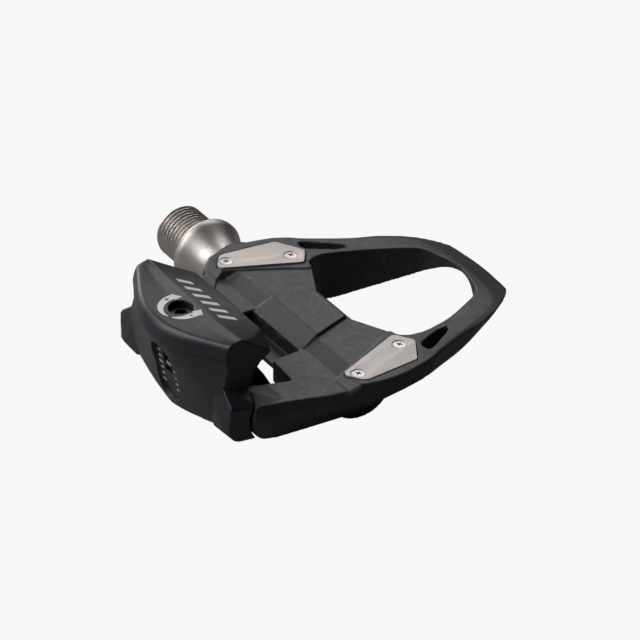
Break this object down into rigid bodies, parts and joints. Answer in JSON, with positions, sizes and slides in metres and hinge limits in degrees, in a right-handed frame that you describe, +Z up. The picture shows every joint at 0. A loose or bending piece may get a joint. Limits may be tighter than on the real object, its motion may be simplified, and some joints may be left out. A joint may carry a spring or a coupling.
{
  "type": "clipless pedal",
  "caption": "Right-hand road clipless pedal: forked composite body with toe loop and steel contact plates, sprung rear claw with tension bolt, and a threaded spindle on sealed bearings.",
  "frame": {"origin": "on the spindle axis, in the plane of the crank shoulder, which is also the floor of the hex socket", "axes": "+Y along the spindle towards the crank, +X towards the nose of the pedal, +Z up from the spindle through the cleat platform"},
  "size_m": [0.0954, 0.1041, 0.0335],
  "materials": {
    "body_composite": "matte, fine mottled moulded grain",
    "claw_composite": "satin moulded",
    "plate_steel": "satin",
    "screw_bright": "bright",
    "screw_steel": "satin",
    "spindle_steel": "satin turned",
    "seal_rubber": "matte",
    "sleeve_plastic": "satin moulded",
    "spacer_plastic": "matte",
    "spring_steel": "drawn wire",
    "bolt_black": "black oxide",
    "tension_metal": "satin",
    "bearing_steel": "ground",
    "bearing_ball": "polished"
  },
  "bodies": {
    "spindle_unit": {"spindle": "spindle_steel", "outboard_cone": "bearing_steel", "cone_lock_nut": "bearing_steel"},
    "claw": {"rear_claw": "claw_composite"},
    "tension_bolt": {"tension_bolt": "bolt_black"},
    "tension_plate": {"tension_plate": "tension_metal"},
    "inboard_balls": {"inboard_ball_01": "bearing_ball", "inboard_ball_02": "bearing_ball", "inboard_ball_03": "bearing_ball", "inboard_ball_04": "bearing_ball", "inboard_ball_05": "bearing_ball", "inboard_ball_06": "bearing_ball", "inboard_ball_07": "bearing_ball", "inboard_ball_08": "bearing_ball", "inboard_ball_09": "bearing_ball", "inboard_ball_10": "bearing_ball", "inboard_ball_11": "bearing_ball", "inboard_ball_12": "bearing_ball"},
    "outboard_balls": {"outboard_ball_01": "bearing_ball", "outboard_ball_02": "bearing_ball", "outboard_ball_03": "bearing_ball", "outboard_ball_04": "bearing_ball", "outboard_ball_05": "bearing_ball", "outboard_ball_06": "bearing_ball", "outboard_ball_07": "bearing_ball", "outboard_ball_08": "bearing_ball", "outboard_ball_09": "bearing_ball", "outboard_ball_10": "bearing_ball", "outboard_ball_11": "bearing_ball", "outboard_ball_12": "bearing_ball"},
    "pedal": {"bearing_sleeve": "bearing_steel", "claw_pivot_pin": "bearing_steel", "dust_seal": "seal_rubber", "inboard_contact_plate": "plate_steel", "inboard_front_plate_screw": "screw_steel", "inboard_rear_plate_screw": "screw_steel", "inboard_torsion_spring": "spring_steel", "lock_sleeve": "sleeve_plastic", "needle_bearing": "bearing_steel", "outboard_contact_plate": "plate_steel", "outboard_front_plate_screw": "screw_bright", "outboard_rear_plate_screw": "screw_bright", "outboard_torsion_spring": "spring_steel", "pedal_body": "body_composite", "spring_spacer": "spacer_plastic"}
  },
  "joints": [
    {"name": "pedal_spin", "type": "hinge", "parent": "spindle_unit", "child": "pedal", "pos_m": [0, -0.053, 0], "axis": [0, 1, 0], "continuous": true},
    {"name": "claw_open", "type": "hinge", "parent": "pedal", "child": "claw", "pos_m": [-0.027, -0.053, 0.0042], "axis": [0, -1, 0], "range_deg": [0, 20], "stiffness_Nm_per_rad": 1.5, "deforming": ["inboard_torsion_spring", "outboard_torsion_spring"]},
    {"name": "tension_bolt_turn", "type": "hinge", "parent": "claw", "child": "tension_bolt", "pos_m": [-0.03725, -0.053, 0.0105], "axis": [0, 0, 1], "range_deg": [-1080, 1080]},
    {"name": "tension_plate_slide", "type": "slide", "parent": "claw", "child": "tension_plate", "axis": [0, 0, 1], "range_m": [-0.0021, 0.0021]},
    {"name": "inboard_balls_orbit", "type": "hinge", "parent": "spindle_unit", "child": "inboard_balls", "pos_m": [0, -0.0354, 0], "axis": [0, 1, 0], "continuous": true},
    {"name": "outboard_balls_orbit", "type": "hinge", "parent": "spindle_unit", "child": "outboard_balls", "pos_m": [0, -0.0639, 0], "axis": [0, 1, 0], "continuous": true}
  ],
  "couplings": [
    {"joint": "tension_bolt_turn", "follows": "tension_plate_slide", "rad_per_m": -8976},
    {"joint": "inboard_balls_orbit", "follows": "pedal_spin", "ratio": 0.616},
    {"joint": "outboard_balls_orbit", "follows": "pedal_spin", "ratio": 0.616}
  ]
}
